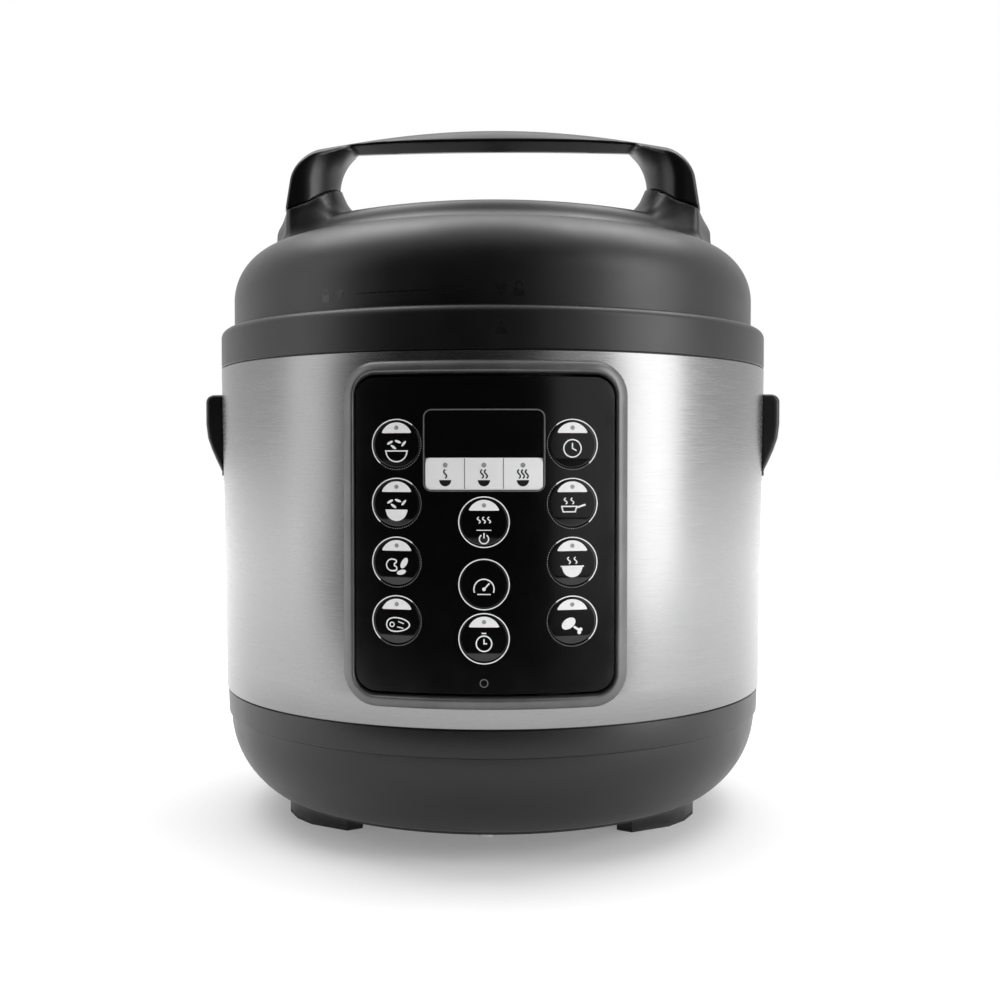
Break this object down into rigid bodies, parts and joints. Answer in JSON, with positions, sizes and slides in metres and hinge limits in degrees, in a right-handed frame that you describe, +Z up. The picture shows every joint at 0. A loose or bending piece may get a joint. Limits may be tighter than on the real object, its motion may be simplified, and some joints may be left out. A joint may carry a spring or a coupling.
{
  "type": "electric pressure cooker",
  "caption": "Round countertop electric pressure cooker with a brushed steel wall, black domed lid with an arched carrying grip, and a glossy front key panel.",
  "frame": {"origin": "centre of the whole object's footprint, on the surface that it stands on", "axes": "+Z up; -Y towards the user, the key panel's side; +X to the user's right when facing the panel"},
  "size_m": [0.275, 0.2856, 0.325],
  "materials": {
    "black_satin_plastic": "satin, fine moulded grain",
    "foot_rubber": "matt",
    "brushed_shell": "horizontal brushed grain",
    "pressed_steel": "satin pressed sheet",
    "pot_steel": "circular brushed",
    "cast_aluminium": "cast and machined",
    "zinc_steel": "plain",
    "black_component": "moulded",
    "circuit_board": "solder mask",
    "led_lens": "clear-white",
    "grey_bezel": "satin dark grey",
    "black_gloss": "high gloss",
    "smoked_window": "smoked, glossy",
    "white_strip": "white, translucent",
    "brass_pins": "plain",
    "wire_insulation": "insulation",
    "grey_flat_cable": "flat cable",
    "smoked_cup": "smoked, see-through",
    "silicone": "translucent silicone"
  },
  "bodies": {
    "base": {"base_housing": "black_satin_plastic", "bottom_cover": "black_satin_plastic", "feet": "black_satin_plastic", "foot_pads": "foot_rubber", "base_screws": "zinc_steel", "outer_shell": "brushed_shell", "top_collar": "black_satin_plastic", "outer_pot": "pressed_steel", "heating_plate": "cast_aluminium", "heating_element": "zinc_steel", "plate_bolts": "zinc_steel", "sensor_spring": "zinc_steel", "thermal_fuse": "zinc_steel", "pressure_switch": "black_component", "power_board": "circuit_board", "board_components": "black_component", "control_board": "circuit_board", "board_screws": "zinc_steel", "tact_switches": "black_component", "key_leds": "led_lens", "display_module": "black_component", "panel_bezel": "grey_bezel", "panel_overlay": "black_gloss", "display_window": "smoked_window", "indicator_strip": "white_strip", "side_handle_left": "black_satin_plastic", "side_handle_right": "black_satin_plastic", "wall_screws": "zinc_steel", "power_inlet": "black_component", "inlet_pins": "brass_pins", "wiring": "wire_insulation", "ribbon_cable": "grey_flat_cable", "cup_holder": "black_satin_plastic"},
    "sensor": {"temperature_sensor": "cast_aluminium"},
    "cup": {"condensation_cup": "smoked_cup"},
    "pot": {"inner_pot": "pot_steel"},
    "gasket": {"sealing_ring": "silicone"},
    "lid": {"lid_cover": "black_satin_plastic", "grip_feet": "black_satin_plastic", "lid_grip": "black_satin_plastic", "grip_screws": "zinc_steel", "pressure_lid": "cast_aluminium", "lid_screws": "zinc_steel", "gasket_ring": "pressed_steel", "anti_block_shield": "pressed_steel", "steam_pipe": "zinc_steel"},
    "valve": {"steam_valve": "black_satin_plastic"},
    "float_valve": {"float_pin": "zinc_steel", "float_seal": "silicone"},
    "key_left_1_cap": {"key_left_1": "black_gloss"},
    "key_left_2_cap": {"key_left_2": "black_gloss"},
    "key_left_3_cap": {"key_left_3": "black_gloss"},
    "key_left_4_cap": {"key_left_4": "black_gloss"},
    "key_right_1_cap": {"key_right_1": "black_gloss"},
    "key_right_2_cap": {"key_right_2": "black_gloss"},
    "key_right_3_cap": {"key_right_3": "black_gloss"},
    "key_right_4_cap": {"key_right_4": "black_gloss"},
    "key_mid_1_cap": {"key_mid_1": "black_gloss"},
    "key_mid_2_cap": {"key_mid_2": "black_gloss"},
    "key_mid_3_cap": {"key_mid_3": "black_gloss"}
  },
  "joints": [
    {"name": "pot_lift", "type": "slide", "parent": "base", "child": "pot", "axis": [0, 0, 1], "range_m": [0, 0.19]},
    {"name": "lid_lift", "type": "slide", "parent": "pot", "child": "gasket", "axis": [0, 0, 1], "range_m": [0, 0.12]},
    {"name": "lid_turn", "type": "hinge", "parent": "gasket", "child": "lid", "pos_m": [0, -0.0092, 0.22], "axis": [0, 0, 1], "range_deg": [0, 30]},
    {"name": "valve_turn", "type": "hinge", "parent": "lid", "child": "valve", "pos_m": [0, 0.0628, 0.27], "axis": [0, 0, 1], "range_deg": [0, 40]},
    {"name": "float_rise", "type": "slide", "parent": "lid", "child": "float_valve", "axis": [0, 0, 1], "range_m": [0, 0.005]},
    {"name": "sensor_press", "type": "slide", "parent": "base", "child": "sensor", "axis": [0, 0, -1], "range_m": [0, 0.003], "stiffness_N_per_m": 600, "springref_m": -0.003, "deforming": ["sensor_spring"]},
    {"name": "cup_slide", "type": "slide", "parent": "base", "child": "cup", "axis": [0, 0, -1], "range_m": [0, 0.05]},
    {"name": "key_left_1_press", "type": "slide", "parent": "base", "child": "key_left_1_cap", "axis": [0, 1, 0], "range_m": [0, 0.0006], "stiffness_N_per_m": 400, "springref_m": -0.001},
    {"name": "key_left_2_press", "type": "slide", "parent": "base", "child": "key_left_2_cap", "axis": [0, 1, 0], "range_m": [0, 0.0006], "stiffness_N_per_m": 400, "springref_m": -0.001},
    {"name": "key_left_3_press", "type": "slide", "parent": "base", "child": "key_left_3_cap", "axis": [0, 1, 0], "range_m": [0, 0.0006], "stiffness_N_per_m": 400, "springref_m": -0.001},
    {"name": "key_left_4_press", "type": "slide", "parent": "base", "child": "key_left_4_cap", "axis": [0, 1, 0], "range_m": [0, 0.0006], "stiffness_N_per_m": 400, "springref_m": -0.001},
    {"name": "key_right_1_press", "type": "slide", "parent": "base", "child": "key_right_1_cap", "axis": [0, 1, 0], "range_m": [0, 0.0006], "stiffness_N_per_m": 400, "springref_m": -0.001},
    {"name": "key_right_2_press", "type": "slide", "parent": "base", "child": "key_right_2_cap", "axis": [0, 1, 0], "range_m": [0, 0.0006], "stiffness_N_per_m": 400, "springref_m": -0.001},
    {"name": "key_right_3_press", "type": "slide", "parent": "base", "child": "key_right_3_cap", "axis": [0, 1, 0], "range_m": [0, 0.0006], "stiffness_N_per_m": 400, "springref_m": -0.001},
    {"name": "key_right_4_press", "type": "slide", "parent": "base", "child": "key_right_4_cap", "axis": [0, 1, 0], "range_m": [0, 0.0006], "stiffness_N_per_m": 400, "springref_m": -0.001},
    {"name": "key_mid_1_press", "type": "slide", "parent": "base", "child": "key_mid_1_cap", "axis": [0, 1, 0], "range_m": [0, 0.0006], "stiffness_N_per_m": 400, "springref_m": -0.001},
    {"name": "key_mid_2_press", "type": "slide", "parent": "base", "child": "key_mid_2_cap", "axis": [0, 1, 0], "range_m": [0, 0.0006], "stiffness_N_per_m": 400, "springref_m": -0.001},
    {"name": "key_mid_3_press", "type": "slide", "parent": "base", "child": "key_mid_3_cap", "axis": [0, 1, 0], "range_m": [0, 0.0006], "stiffness_N_per_m": 400, "springref_m": -0.001}
  ]
}
